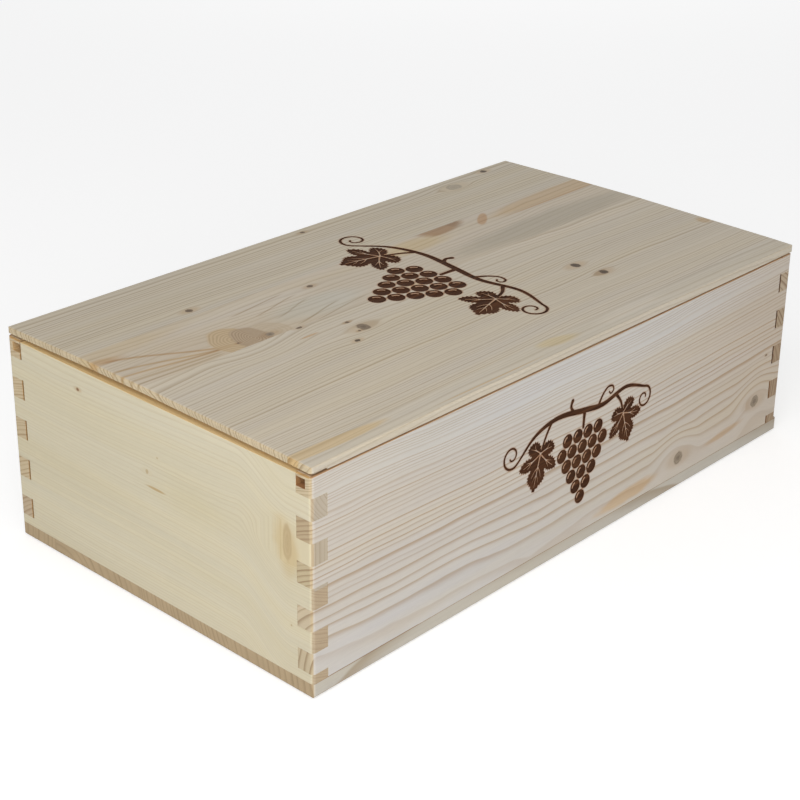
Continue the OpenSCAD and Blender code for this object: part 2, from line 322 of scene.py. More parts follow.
def knot_effect():
    """A knot across the board. The grain parts and flows round it, so it gives back a bent Place."""
    tree, given, result = effect("knot", [
        ("Place", "Vector", (0, 0, 0)), ("Centre", "Vector", (0, 0, 0)), ("Radius", "Float", 3.0),
        ("Stretch", "Float", 1.2), ("Reach", "Float", 2.2), ("Year Width", "Float", 0.75), ("Seed", "Float", 0.0),
    ], [("Place", "Vector"), ("Core", "Float"), ("Rim", "Float"), ("Halo", "Float"), ("Years", "Float"), ("Pith", "Float")])
    place, size = given["Place"], given["Radius"]
    away = split(tree, vectors(tree, "SUBTRACT", place, given["Centre"]))
    scaled = vectors(tree, "DIVIDE", place, join(tree, size, size, size))
    lumpy = noise(tree, scaled, (1.5, 1.1, 1.5), 2.0, 0.5, "Fac", given["Seed"])
    lumpy = calc(tree, "MULTIPLY", calc(tree, "SUBTRACT", lumpy, 0.5), size)
    out = vectors(tree, "LENGTH", join(tree, calc(tree, "DIVIDE", away[0], given["Stretch"]), away[1], 0.0))
    out = calc(tree, "MULTIPLY_ADD", lumpy, 0.7, out)
    share = calc(tree, "DIVIDE", out, size)
    tree.links.new(ease(tree, share, 0.88, 1.04, 1.0, 0.0), result["Core"])
    broken = ease(tree, noise(tree, scaled, (0.9, 0.9, 0.9), 1.0, 0.5, "Fac", calc(tree, "ADD", given["Seed"], 5.0)),
                  0.38, 0.58)
    rim = calc(tree, "MULTIPLY", ease(tree, share, 0.6, 0.92), ease(tree, share, 0.96, 1.22, 1.0, 0.0))
    tree.links.new(calc(tree, "MULTIPLY", rim, broken), result["Rim"])
    ragged = noise(tree, place, (0.9, 0.5, 0.9), 3.0, 0.6, "Fac", given["Seed"])
    middle = calc(tree, "MULTIPLY_ADD", calc(tree, "SUBTRACT", ragged, 0.5), 1.3, share)
    tree.links.new(ease(tree, middle, 0.1, 0.85, 1.0, 0.0), result["Pith"])
    long = calc(tree, "DIVIDE", vectors(tree, "LENGTH", join(tree, calc(tree, "DIVIDE", away[0], 2.2), away[1], 0.0)),
                size)
    tree.links.new(ease(tree, long, 0.8, 2.1, 1.0, 0.0), result["Halo"])
    turn = calc(tree, "DIVIDE", calc(tree, "MULTIPLY", out, 2 * math.pi), given["Year Width"])
    tree.links.new(calc(tree, "SINE", turn), result["Years"])
    wide = vectors(tree, "LENGTH", join(tree, calc(tree, "DIVIDE", away[0], given["Reach"]), away[1], 0.0))
    near = calc(tree, "POWER", calc(tree, "DIVIDE", size, calc(tree, "MAXIMUM", wide, 0.01)), 2.0)
    near = calc(tree, "MINIMUM", calc(tree, "MULTIPLY", near, 1.2), 1.0)
    shift = calc(tree, "MULTIPLY", calc(tree, "MULTIPLY", away[1], near), -1.0)
    tree.links.new(vectors(tree, "ADD", place, join(tree, 0.0, shift, 0.0)), result["Place"])
    return tree


def stain_effect():
    """A long patch of other wood colour, such as a resin streak, with a frayed edge."""
    tree, given, result = effect("stain", [
        ("Place", "Vector", (0, 0, 0)), ("Centre", "Vector", (0, 0, 0)), ("Size", "Vector", (30, 4, 1)),
        ("Turn", "Float", 0.0), ("Fray", "Float", 0.5), ("Edge", "Float", 0.5), ("Seed", "Float", 0.0),
    ], [("Mask", "Float")])
    away = vectors(tree, "SUBTRACT", given["Place"], given["Centre"])
    x, y = split(tree, away)[0:2]
    cos, sin = calc(tree, "COSINE", given["Turn"]), calc(tree, "SINE", given["Turn"])
    a = calc(tree, "ADD", calc(tree, "MULTIPLY", x, cos), calc(tree, "MULTIPLY", y, sin))
    b = calc(tree, "SUBTRACT", calc(tree, "MULTIPLY", y, cos), calc(tree, "MULTIPLY", x, sin))
    wobble = noise(tree, given["Place"], (26, 7, 9), 3.0, 0.55, "Color", given["Seed"])
    wobble = split(tree, vectors(tree, "SUBTRACT", wobble, (0.5, 0.5, 0.5)))
    inside = vectors(tree, "DIVIDE", join(tree, a, b, 0.0), given["Size"])
    inside = split(tree, inside)
    b = calc(tree, "MULTIPLY_ADD", wobble[1], given["Fray"], inside[1])
    a = calc(tree, "MULTIPLY_ADD", wobble[0], given["Fray"], inside[0])
    out = vectors(tree, "LENGTH", join(tree, a, b, 0.0))
    low = calc(tree, "SUBTRACT", 1.0, given["Edge"])
    tree.links.new(ease(tree, out, low, calc(tree, "ADD", 1.0, calc(tree, "MULTIPLY", given["Edge"], 0.3)), 1.0, 0.0),
                   result["Mask"])
    return tree


SOFTWOOD, KNOT, STAIN = softwood_effect(), knot_effect(), stain_effect()


def board_place(tree, order, origin, way):
    """Object coordinates turned into millimetres along the grain, across the board and into it."""
    where = tree.nodes.new("ShaderNodeTexCoord")
    place = vectors(tree, "SUBTRACT", where.outputs["Object"], origin)
    place = vectors(tree, "MULTIPLY", place, tuple(1000 * w for w in way))
    axes = split(tree, place)
    return where, join(tree, *(axes["XYZ".index(c)] for c in order))


def within(tree, place, low, high):
    """1 inside a box given in the board's millimetres, 0 outside it."""
    above = split(tree, vectors(tree, "SUBTRACT", place, low))
    below = split(tree, vectors(tree, "SUBTRACT", high, place))
    amount = 1.0
    for side in (*above, *below):
        amount = calc(tree, "MULTIPLY", calc(tree, "MULTIPLY", side, 20.0, clamp=True), amount)
    return amount


def board_wood(name, order, origin, way, heart, early, late, end_early, end_late, ring=1.9, belly=0.0,
               sway=2.0, seed=0.0, contrast=1.0, tighten=0.0, knots=(), stains=(), sweeps=(), humps=(), lines=(),
               shade_and_tone_boxes=(), underside_shade=None, scorch=None):
    """One board's wood. Its knots bend the grain; stains, drawn lines, knots, boxes of painted shade and tone, painted
    shade under it and scorch then colour it.
    """
    wood = bpy.data.materials.new(name)
    wood.use_nodes = True
    tree = wood.node_tree
    shader = tree.nodes["Principled BSDF"]
    where, place = board_place(tree, order, origin, way)
    at_rest = place
    marks = []
    for k, (u, v, radius, stretch, look) in enumerate(knots):
        seen = place_effect(tree, KNOT, Place=at_rest, Centre=(u, v, 0), Radius=radius, Stretch=stretch,
                            Reach=1.6 + stretch, Seed=seed + k, Year_Width=look["years"])
        marks.append((seen, look))
        bend = vectors(tree, "MULTIPLY", vectors(tree, "SUBTRACT", seen["Place"], at_rest), (0, look["flow"], 0))
        place = vectors(tree, "ADD", place, bend)
    for low, high, shift in sweeps:
        u = split(tree, place)[0]
        place = vectors(tree, "ADD", place, join(tree, 0.0, ease(tree, u, low, high, shift, 0.0), 0.0))
    for u, v, long, tall, height in humps:
        out = vectors(tree, "DIVIDE", vectors(tree, "SUBTRACT", at_rest, (u, v, 0)), (long, tall, 1e4))
        lift = ease(tree, vectors(tree, "LENGTH", out), 0.0, 1.0, -height, 0.0)
        place = vectors(tree, "ADD", place, join(tree, 0.0, lift, 0.0))
    grain = tuple(1.0 if c == order[0] else 0.0 for c in "XYZ")
    seen = place_effect(tree, SOFTWOOD, Place=place, Normal=where.outputs["Normal"], Grain=grain, Heart=heart,
                        Ring_Width=ring, Belly=belly, Sway=sway, Seed=seed, Contrast=contrast, Tighten=tighten,
                        Early=colour(*early), Late=colour(*late), End_Early=colour(*end_early),
                        End_Late=colour(*end_late))
    tone = seen["Color"]
    for k, (u, v, long, wide, turn, tint, amount, fray, edge) in enumerate(stains):
        patch = place_effect(tree, STAIN, Place=at_rest, Centre=(u, v, 0), Size=(long, wide, 1),
                             Turn=math.radians(turn), Fray=fray, Edge=edge, Seed=seed + 5 * k)
        tinted = blended(tree, 1.0, tone, colour(*tint), "MULTIPLY")
        tone = blended(tree, calc(tree, "MULTIPLY", patch["Mask"], amount), tone, tinted)
    for start, stop, level, end_level, width, tint, amount in lines:
        u, across = split(tree, at_rest)[0:2]
        off = calc(tree, "SUBTRACT", across, ease(tree, u, start, stop, level, end_level))
        line = calc(tree, "MULTIPLY", ease(tree, calc(tree, "ABSOLUTE", off), 0.0, width, amount, 0.0),
                    calc(tree, "MULTIPLY", ease(tree, u, start, start + 8), ease(tree, u, stop - 8, stop, 1.0, 0.0)))
        tone = blended(tree, line, tone, blended(tree, 1.0, tone, colour(*tint), "MULTIPLY"))
    for mark, look in marks:
        tone = blended(tree, calc(tree, "MULTIPLY", mark["Halo"], 0.5), tone,
                       blended(tree, 1.0, tone, colour(*look["halo"]), "MULTIPLY"))
        inner = blended(tree, calc(tree, "MULTIPLY_ADD", mark["Years"], look["lines"], 0.3), colour(*look["core"]),
                        colour(*look["rim"]))
        inner = blended(tree, calc(tree, "MULTIPLY", mark["Pith"], look["pith"]), inner, colour(*look["rim"]))
        tone = blended(tree, calc(tree, "MULTIPLY", mark["Core"], look["cover"]), tone, inner)
        tone = blended(tree, calc(tree, "MULTIPLY", mark["Rim"], look["edge"]), tone, colour(*look["rim"]))
    # boxes of tint: most are painted shade in grooves, gaps and joints, one is painted light on a shaded top, and the
    # rest make a few faces lighter or darker
    for low, high, tint in shade_and_tone_boxes:
        tone = blended(tree, within(tree, at_rest, low, high), tone,
                       blended(tree, 1.0, tone, colour(*tint), "MULTIPLY"))
    # painted shade: faces that look down are tinted with the given colour
    if underside_shade:
        down = split(tree, where.outputs["Normal"])[2]
        tone = blended(tree, ease(tree, down, -0.9, -0.5, 1.0, 0.0), tone,
                       blended(tree, 1.0, tone, colour(*underside_shade), "MULTIPLY"))
    if scorch:
        burn = tree.nodes.new("ShaderNodeAttribute")
        burn.attribute_name = "scorch"
        amount = calc(tree, "POWER", burn.outputs["Fac"], 1.5)
        tone = blended(tree, calc(tree, "MULTIPLY", amount, 0.8), tone,
                       blended(tree, 1.0, tone, colour(*scorch), "MULTIPLY"))
    bump = tree.nodes.new("ShaderNodeBump")
    bump.inputs["Distance"].default_value = MM
    bump.inputs["Strength"].default_value = 0.8
    tree.links.new(seen["Height"], bump.inputs["Height"])
    tree.links.new(bump.outputs[0], shader.inputs["Normal"])
    tree.links.new(tone, shader.inputs["Base Color"])
    tree.links.new(seen["Roughness"], shader.inputs["Roughness"])
    shader.inputs["Specular IOR Level"].default_value = 0.35
    return wood


def burnt_wood(name, order, origin, way, seed):
    """Wood charred dark brown, with its fibres a little lighter."""
    wood = bpy.data.materials.new(name)
    wood.use_nodes = True
    tree = wood.node_tree
    shader = tree.nodes["Principled BSDF"]
    where, place = board_place(tree, order, origin, way)
    grain = tuple(1.0 if c == order[0] else 0.0 for c in "XYZ")
    seen = place_effect(tree, SOFTWOOD, Place=place, Normal=where.outputs["Normal"], Grain=grain,
                        Heart=(170, 50, 60), Seed=seed)
    uneven = noise(tree, place, (18, 5, 5), 3.0, 0.6, "Fac", seed)
    char = blended(tree, ease(tree, seen["Fibre"], 0.3, 0.95), colour(52, 29, 14), colour(92, 57, 33))
    char = blended(tree, ease(tree, uneven, 0.35, 0.7, 0.0, 0.4), char, colour(78, 43, 22))
    bump = tree.nodes.new("ShaderNodeBump")
    bump.inputs["Distance"].default_value = MM
    bump.inputs["Strength"].default_value = 1.0
    tree.links.new(calc(tree, "MULTIPLY", seen["Height"], 2.0), bump.inputs["Height"])
    tree.links.new(bump.outputs[0], shader.inputs["Normal"])
    tree.links.new(char, shader.inputs["Base Color"])
    tree.links.new(ease(tree, uneven, 0.3, 0.7, 0.78, 0.92), shader.inputs["Roughness"])
    shader.inputs["Specular IOR Level"].default_value = 0.18
    return wood


ARRIS = 0.11 * MM


def sanded(node, seams=()):
    """A copy of a packed board with its sharp outer edges broken, but for those on a glued seam."""
    shape = bmesh.new()
    shape.from_mesh(nodes[node].data)
    shape.verts.layers.float.new("scorch")
    bmesh.ops.remove_doubles(shape, verts=shape.verts[:], dist=0.001 * MM)
    bmesh.ops.dissolve_limit(shape, angle_limit=math.radians(0.3), verts=shape.verts[:], edges=shape.edges[:])

    def is_broken(edge):
        if len(edge.link_faces) != 2 or not edge.is_convex or edge.calc_face_angle() < math.radians(35):
            return False
        ends = [v.co for v in edge.verts]
        if any(all(abs(end.y - seam) < 0.02 * MM for end in ends) for seam in seams):
            return False
        on_pin_hole = edge.calc_length() < 0.3 * MM and max(end.z for end in ends) < 8 * MM
        return not on_pin_hole and edge.calc_length() > 0.05 * MM

    bmesh.ops.bevel(shape, geom=[e for e in shape.edges if is_broken(e)], offset=ARRIS, segments=2, profile=0.5,
                    affect="EDGES", clamp_overlap=False)
    shape.normal_update()
    return shape


def board_piece(name, node, body, slot, shape, *woods):
    """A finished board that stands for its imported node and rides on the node's body."""
    for face in shape.faces:
        face.smooth = face.calc_area() < 0.4 * MM * max(e.calc_length() for e in face.edges)
    for edge in shape.edges:
        edge.smooth = edge.calc_face_angle(0.0) < math.radians(15)
    mesh = bpy.data.meshes.new(name)
    shape.to_mesh(mesh)
    shape.free()
    for wood in woods:
        mesh.materials.append(wood)
    piece = bpy.data.objects.new(name, mesh)
    bpy.context.scene.collection.objects.link(piece)
    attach(piece, body)
    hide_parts(node)
    return piece


def curve(points, steps=6, closed=False):
    """A smooth line through the points."""
    n = len(points)
    out = []
    for i in range(n if closed else n - 1):
        near = [points[(i + j) % n] if closed else points[min(max(i + j, 0), n - 1)] for j in (-1, 0, 1, 2)]
        for s in range(steps):
            t = s / steps
            out.append(tuple(0.5 * (2 * b + (c - a) * t + (2 * a - 5 * b + 4 * c - d) * t * t
                                    + (3 * b - a - 3 * c + d) * t ** 3) for a, b, c, d in zip(*near)))
    return out if closed else out + [tuple(points[-1])]


def stroke(points, grow=0.0, steps=6):
    """Outline of a pen stroke through points of (x, y, width), with rounded ends."""
    line = curve(points, steps)
    left, right = [], []
    for i, (x, y, width) in enumerate(line):
        a, b = line[max(i - 1, 0)], line[min(i + 1, len(line) - 1)]
        dx, dy = b[0] - a[0], b[1] - a[1]
        reach = (width / 2 + grow) / (math.hypot(dx, dy) or 1.0)
        left.append((x - dy * reach, y + dx * reach))
        right.append((x + dy * reach, y - dx * reach))

    def cap(centre, start):
        r = math.hypot(start[0] - centre[0], start[1] - centre[1])
        a = math.atan2(start[1] - centre[1], start[0] - centre[0])
        return [(centre[0] + r * math.cos(a - math.pi * k / 6), centre[1] + r * math.sin(a - math.pi * k / 6))
                for k in range(1, 6)]
    return left + cap(line[-1], left[-1]) + right[::-1] + cap(line[0], right[0])


def disc(x, y, r, count=30):
    return [(x + r * math.cos(2 * math.pi * k / count), y + r * math.sin(2 * math.pi * k / count))
            for k in range(count)]


def gleam(x, y, r):
    """A bare crescent inside a berry, towards its upper left."""
    outer = [math.radians(98 + 9 * k) for k in range(11)]
    inner = [math.radians(185 - 9 * k) for k in range(1, 10)]
    return ([(x + r * math.cos(a), y + r * math.sin(a)) for a in outer]
            + [(x + 0.16 * r + 0.86 * r * math.cos(a), y - 0.16 * r + 0.86 * r * math.sin(a)) for a in inner])


HALF_LEAF = [(0.0, -0.12), (0.14, -0.40), (0.40, -0.52), (0.66, -0.42), (0.80, -0.20), (0.66, -0.02),
             (0.48, 0.08), (0.74, 0.14), (0.98, 0.30), (1.10, 0.58), (0.86, 0.66), (0.62, 0.66), (0.40, 0.58),
             (0.50, 0.84), (0.46, 1.08), (0.26, 1.26), (0.0, 1.52)]
MID_VEIN = [(0, -0.05, 0.075), (0.01, 0.6, 0.05), (0, 1.3, 0.02)]
SIDE_VEINS = [[(0, -0.02, 0.06), (0.45, 0.28, 0.042), (0.88, 0.50, 0.018)],
              [(0, -0.04, 0.055), (0.30, -0.18, 0.038), (0.62, -0.25, 0.016)],
              [(0.0, 0.50, 0.04), (0.16, 0.68, 0.03), (0.28, 0.92, 0.015)],
              [(0.0, 0.82, 0.03), (0.10, 0.95, 0.024), (0.17, 1.12, 0.012)],
              [(0.40, 0.245, 0.035), (0.58, 0.28, 0.026), (0.76, 0.29, 0.013)],
              [(0.40, 0.245, 0.035), (0.50, 0.38, 0.026), (0.64, 0.54, 0.013)],
              [(0.28, -0.17, 0.03), (0.38, -0.28, 0.022), (0.44, -0.40, 0.012)]]


def leaf(x, y, size, turn, grow=0.0):
    """A five-lobed vine leaf with a toothed edge, and its veins."""
    half = curve(HALF_LEAF, 4)
    whole = half + [(-a, b) for a, b in half[-2:0:-1]]
    c, s = math.cos(math.radians(turn)), math.sin(math.radians(turn))

    def put(a, b):
        return (x + size * (a * c - b * s), y + size * (a * s + b * c))

    edge = []
    for i, (a, b) in enumerate(whole):
        p, q = whole[i - 1], whole[(i + 1) % len(whole)]
        dx, dy = q[0] - p[0], q[1] - p[1]
        tooth = (0.035 if i % 2 else -0.03) * min(1.0, max(0.0, (math.hypot(a, b - 0.3) - 0.25) * 2))
        out = (tooth + grow / size) / math.hypot(dx, dy)
        edge.append(put(a + dy * out, b - dx * out))
    veins = [stroke([(*put(a, b), w * size) for a, b, w in MID_VEIN], 0, 3)]
    for vein in SIDE_VEINS:
        for side in (1, -1):
            veins.append(stroke([(*put(side * a, b), w * size) for a, b, w in vein], 0, 3))
    return edge, veins


def curl(x, y, start, radius, turns, side, grow=0.0):
    """A tendril that leaves a point in a direction and winds up on itself."""
    points = []
    count = int(turns * 10)
    heading = math.radians(start)
    for k in range(count + 1):
        t = k / count
        points.append((x, y, 1.25 - 0.45 * t))
        step = 2 * math.pi * turns / count
        x += radius * (1 - 0.82 * t) * step * math.cos(heading)
        y += radius * (1 - 0.82 * t) * step * math.sin(heading)
        heading += side * step
    return stroke(points, grow, 3)


SCORCH_REACH = 0.8


def vine_mark():
    """Outlines of the burnt motif, in millimetres round its middle: burnt shapes, bare shapes
    inside them, and the burnt ones again a little wider, for the scorched wood beside them."""
    ink, bare, halo = [], [], []
    for count, y in ((4, 9.5), (5, 2.3), (4, -4.9), (3, -12.1), (2, -19.3), (1, -26.5)):
        for k in range(count):
            x = 8.3 * (k - (count - 1) / 2)
            ink.append(disc(x, y, 3.8))
            halo.append(disc(x, y, 3.8 + SCORCH_REACH))
            bare.append(gleam(x, y, 2.75))
    strokes = [
        [(-50, 13, 1.2), (-38, 22, 2.0), (-21, 25.5, 2.6), (0, 22.5, 3.1), (16, 20.5, 2.6), (35, 24, 2.0), (51, 19, 1.2)],
        [(0.5, 22, 2.6), (0.2, 18, 2.0), (0, 13, 1.7)],
        [(-26, 25, 1.8), (-30, 19, 1.4), (-33, 12.5, 1.3)],
        [(27, 22, 1.8), (31, 17, 1.4), (33, 11.5, 1.3)],
        [(-9, 24.5, 2.0), (-11, 28, 1.6), (-10, 31, 2.2)],
        [(12, 21.5, 1.6), (15, 26, 1.3), (19, 29, 1.1), (23, 28.5, 1.0), (24, 25.8, 0.9), (21.8, 24.6, 0.8),
         (20.4, 26, 0.7)],
    ]
    for line in strokes:
        ink.append(stroke(line))
        halo.append(stroke(line, SCORCH_REACH))
    for place in ((-34, 10.0, 13.2, 166), (34, 9.0, 12.4, 197)):
        edge, veins = leaf(*place)
        ink.append(edge)
        bare.extend(veins)
        halo.append(leaf(*place, grow=SCORCH_REACH)[0])
    for place in ((-50, 13, 215, 7.0, 1.35, -1), (51, 19, -20, 6.4, 1.3, -1)):
        ink.append(curl(*place))
        halo.append(curl(*place, grow=SCORCH_REACH))
    return ink, bare, halo


VINE = vine_mark()
BURN_DEPTH = 0.35 * MM


def enclosed(points, outline):
    """Which of the points a closed outline goes round."""
    x, y = points.T
    turns = np.zeros(len(points), int)
    for (ax, ay), (bx, by) in zip(outline, outline[1:] + outline[:1]):
        left = (bx - ax) * (y - ay) > (x - ax) * (by - ay)
        turns += ((ay <= y) & (by > y) & left).astype(int)
        turns -= ((ay > y) & (by <= y) & ~left).astype(int)
    return turns != 0


def burn_mark(shape, facing, across, up, middle, scale):
    """Sinks the vine into the board's broad face. The face is cut into triangles along the
    outlines, the burnt ones drop, walls close the step, and a cut rim is notched to match."""
    facing, across, up = Vector(facing), Vector(across), Vector(up)
    face = max((f for f in shape.faces if f.normal.dot(facing) > 0.99), key=lambda f: f.calc_area())
    level, normal = face.verts[0].co.copy(), face.normal.copy()

    def flat(co):
        return co.dot(across) / MM - middle[0], co.dot(up) / MM - middle[1]

    def solid(point, sunk):
        foot = across * ((point[0] + middle[0]) * MM) + up * ((point[1] + middle[1]) * MM)
        return foot + facing * ((level - foot).dot(normal) / facing.dot(normal) - sunk)

    rim = [loop.vert for loop in face.loops]
    border = [flat(v.co) for v in rim]
    ink, bare, halo = ([[(scale * x, scale * y) for x, y in outline] for outline in kind] for kind in VINE)
    points, edges = [], []
    for outline in [border] + ink + bare + halo:
        first, count = len(points), len(outline)
        points += [Vector(p) for p in outline]
        edges += [(first + k, first + (k + 1) % count) for k in range(count)]
    spots, sides, cells, from_point, from_edge, _ = geometry.delaunay_2d_cdt(points, edges, [], 0, 1e-4)
    spots = np.array([tuple(p) for p in spots])
    cells = np.array([tuple(c) for c in cells])
    ahead = spots[cells[:, 1]] - spots[cells[:, 0]]
    aside = spots[cells[:, 2]] - spots[cells[:, 0]]
    turned = ahead[:, 0] * aside[:, 1] - ahead[:, 1] * aside[:, 0] < 0
    cells[turned] = cells[turned][:, ::-1]
    centres = spots[cells].mean(1)
    kept = enclosed(centres, border)
    burnt = np.zeros(len(cells), bool)
    for outline in ink:
        burnt |= enclosed(centres, outline)
    for outline in bare:
        burnt &= ~enclosed(centres, outline)
    cells, burnt = cells[kept].tolist(), burnt[kept].tolist()

    shape.faces.remove(face)
    top = {i: rim[k] for i, old in enumerate(from_point) for k in old if k < len(rim)}
    low = {}

    def high_vert(i):
        if i not in top:
            top[i] = shape.verts.new(solid(spots[i], 0.0))
        return top[i]

    def low_vert(i):
        if i not in low:
            low[i] = shape.verts.new(solid(spots[i], BURN_DEPTH))
        return low[i]

    owner = {}
    for n, cell in enumerate(cells):
        made = shape.faces.new([(low_vert if burnt[n] else high_vert)(i) for i in cell])
        made.material_index = int(burnt[n])
        for a, b in zip(cell, cell[1:] + cell[:1]):
            owner[a, b] = n
    stepped = set()
    for (a, b), n in owner.items():
        beside = owner.get((b, a))
        if burnt[n] and beside is not None and not burnt[beside]:
            wall = shape.faces.new([high_vert(a), high_vert(b), low_vert(b), low_vert(a)])
            wall.material_index = 1
            stepped.update((a, b))
    for k, start in enumerate(rim):
        end = rim[(k + 1) % len(rim)]
        pieces = [tuple(s) for s, old in zip(sides, from_edge) if k in old]
        pieces = [(a, b) if (a, b) in owner else (b, a) for a, b in pieces]
        if len(pieces) < 2:
            continue
        pieces.sort(key=lambda piece: (spots[piece[0]][0] - border[k][0]) ** 2 + (spots[piece[0]][1] - border[k][1]) ** 2)
        path = [start]
        for a, b in pieces:
            vert = low_vert if burnt[owner[a, b]] else high_vert
            for i in (a, b):
                if path[-1] is not vert(i):
                    path.append(vert(i))
        if path[-1] is not end:
            path.append(end)
        old_edge = shape.edges.get((start, end))
        beside = old_edge.link_faces[0]
        around = [loop.vert for loop in beside.loops]
        first = around.index(start)
        around = around[first:] + around[:first]
        shape.faces.remove(beside)
        shape.edges.remove(old_edge)
        shape.faces.new(around + path[-2:0:-1])
    scorch = shape.verts.layers.float["scorch"]
    near = kdtree.KDTree(len(stepped))
    for i in stepped:
        near.insert((*spots[i], 0.0), i)
    near.balance()
    for i, vert in top.items():
        gap = near.find((*spots[i], 0.0))[2]
        vert[scorch] = max(0.0, 1.0 - gap / (0.9 * SCORCH_REACH))
    shape.normal_update()


LENGTH, WIDTH = 340.5, 193.0
corner = (-LENGTH / 2 * MM, -WIDTH / 2 * MM, 0.0)
END_GRAIN = dict(end_early=(197, 179, 147), end_late=(158, 134, 102))
GREY_KNOT = dict(core=(166, 152, 132), rim=(98, 82, 64), halo=(230, 212, 188), flow=1.0, years=0.9, lines=0.2,
                 cover=0.85, edge=0.35, pith=0.8)
SMALL_KNOT = dict(core=(126, 106, 83), rim=(80, 62, 45), halo=(228, 202, 168), flow=1.0, years=0.8, lines=0.2,
                  cover=0.92, edge=0.5, pith=0.8)
DARK_KNOT = dict(SMALL_KNOT, core=(96, 76, 55), rim=(52, 37, 25))
FAINT_KNOT = dict(core=(176, 165, 146), rim=(142, 129, 110), halo=(240, 228, 208), flow=1.0, years=1.1, lines=0.3,
                  cover=0.75, edge=0.4, pith=0.4)
# Painted light for the closed end's shaded top, and painted shade for the finger joints' root gaps
END_TOP_PAINTED_LIGHT, ROOT_GAP_SHADE = (286, 264, 226), (176, 122, 80)
ROOTS = [((8.52, 7, 0.12), (9.35, 101, 8.4), ROOT_GAP_SHADE), ((331.15, 7, 0.12), (331.98, 101, 8.4), ROOT_GAP_SHADE)]
# Painted shade: the inside of the lid's groove is tinted darker and warmer
GROOVE_SHADE = ((-1, 94.55, 3.4), (342, 98.95, 8.6), (212, 160, 113))
# Painted shade: the sides' top edges under the lid, their outer arris and the part by the closed end are tinted darker
# and warmer
SIDE_TOP_SHADE = [((-1, 100.7, 1.5), (342, 101, 8.6), (240, 216, 182)), ((-1, 100.25, 0.05), (342, 101, 1.5), (226, 186, 146)),
            ((0.12, 99.0, 1.5), (8.6, 100.7, 8.6), (236, 208, 166))]
# A thin dark line where the front side meets the bottom: part glue line, part painted shade of the gap
FOOT_LINE = ((8, 6.9, -0.1), (62, 7.22, 0.35), (176, 148, 120))

front = sanded("front_side")
burn_mark(front, (0, -1, 0), (1, 0, 0), (0, 0, 1), (0.75, 50.0), 0.9)
board_piece("front_side_board", "front_side", "box", "side_wood", front, board_wood(
    "front_side_wood", "XZY", corner, (1, 1, 1), heart=(150, 8, -24), ring=10.0, tighten=3.0, belly=-1.0, sway=4.0,
    seed=2.0, early=(203, 195, 184), late=(174, 151, 125), contrast=1.05,
    knots=[(250.9, 16.5, 3.2, 1.1, GREY_KNOT), (318.1, 24.5, 3.2, 1.1, GREY_KNOT), (325.2, 48.4, 0.6, 1.2, SMALL_KNOT)],
    stains=[(210, 12, 26, 3.9, 3, (252, 231, 202), 0.95, 1.1, 0.4),
            (290, 16, 18, 2.2, 4, (246, 226, 200), 0.8, 0.7, 0.5),
            (350, 50, 130, 110, 0, (250, 243, 234), 1.0, 0.1, 1.0),
            (172, 96, 200, 20, 0, (257, 263, 271), 1.0, 0.1, 0.6), (60, 12, 130, 30, 0, (254, 258, 265), 1.0, 0.1, 0.8)],
    humps=[(247.4, 15, 24, 26, 8), (319.1, 25, 26, 28, 8)],
    shade_and_tone_boxes=[GROOVE_SHADE, *SIDE_TOP_SHADE, ROOTS[1], FOOT_LINE, ((-1, 71.5, -1), (0.1, 82, 9), (236, 232, 230)), ((-1, 51, -1), (0.1, 62, 9), (246, 248, 247)),
              ((-1, 31, -1), (0.1, 42, 9), (259, 262, 270))], scorch=(205, 150, 104), **END_GRAIN),
    burnt_wood("front_side_burnt", "XZY", corner, (1, 1, 1), 2.0))
board_piece("back_side_board", "back_side", "box", "side_wood", sanded("back_side"), board_wood(
    "back_side_wood", "XZY", (corner[0], -corner[1], 0), (1, -1, 1), heart=(210, -26, 34), ring=5.0, tighten=1.5,
    belly=-1.5, sway=4.0, seed=31.0, early=(202, 194, 180), late=(177, 158, 133),
    knots=[(96, 70, 4.2, 1.2, GREY_KNOT), (258, 31, 2.4, 1.2, GREY_KNOT), (180, 18, 1.2, 1.1, SMALL_KNOT)],
    stains=[(150, 84, 30, 3.0, -2, (228, 198, 160), 0.7, 0.7, 0.5)],
    # painted shade: the groove, and the inner face by the closed end seen only through the joint's gaps, are tinted
    # darker and browner
    shade_and_tone_boxes=[((-1, 94.55, 3.4), (342, 98.95, 8.6), (255, 227, 184)), *SIDE_TOP_SHADE, *ROOTS,
              ((-1, 7, 8.3), (8.6, 94.5, 8.7), (226, 190, 140)), ((0.5, 7, 8.3), (8.6, 94.5, 8.7), (130, 88, 56)),
              ((-1, 9, -1), (0.1, 22, 9), (242, 239, 244))],
    end_early=(200, 182, 150), end_late=(168, 144, 111)))


# ---- Ends: one pale spruce board each, its grain across the box, glued between the sides ----
# The closed end is nearly as high as the sides; its top lies in shade under the lid and is
# painted lighter and warmer. The other stops below the grooves, so that the lid slides out above it.

PALE_END = dict(early=(209, 200, 174), late=(194, 179, 146))
TAN_KNOT = dict(core=(192, 172, 134), rim=(170, 145, 107), halo=(255, 252, 244), flow=1.0, years=2.9, lines=0.14, cover=0.75,
                edge=0.2, pith=0.3)
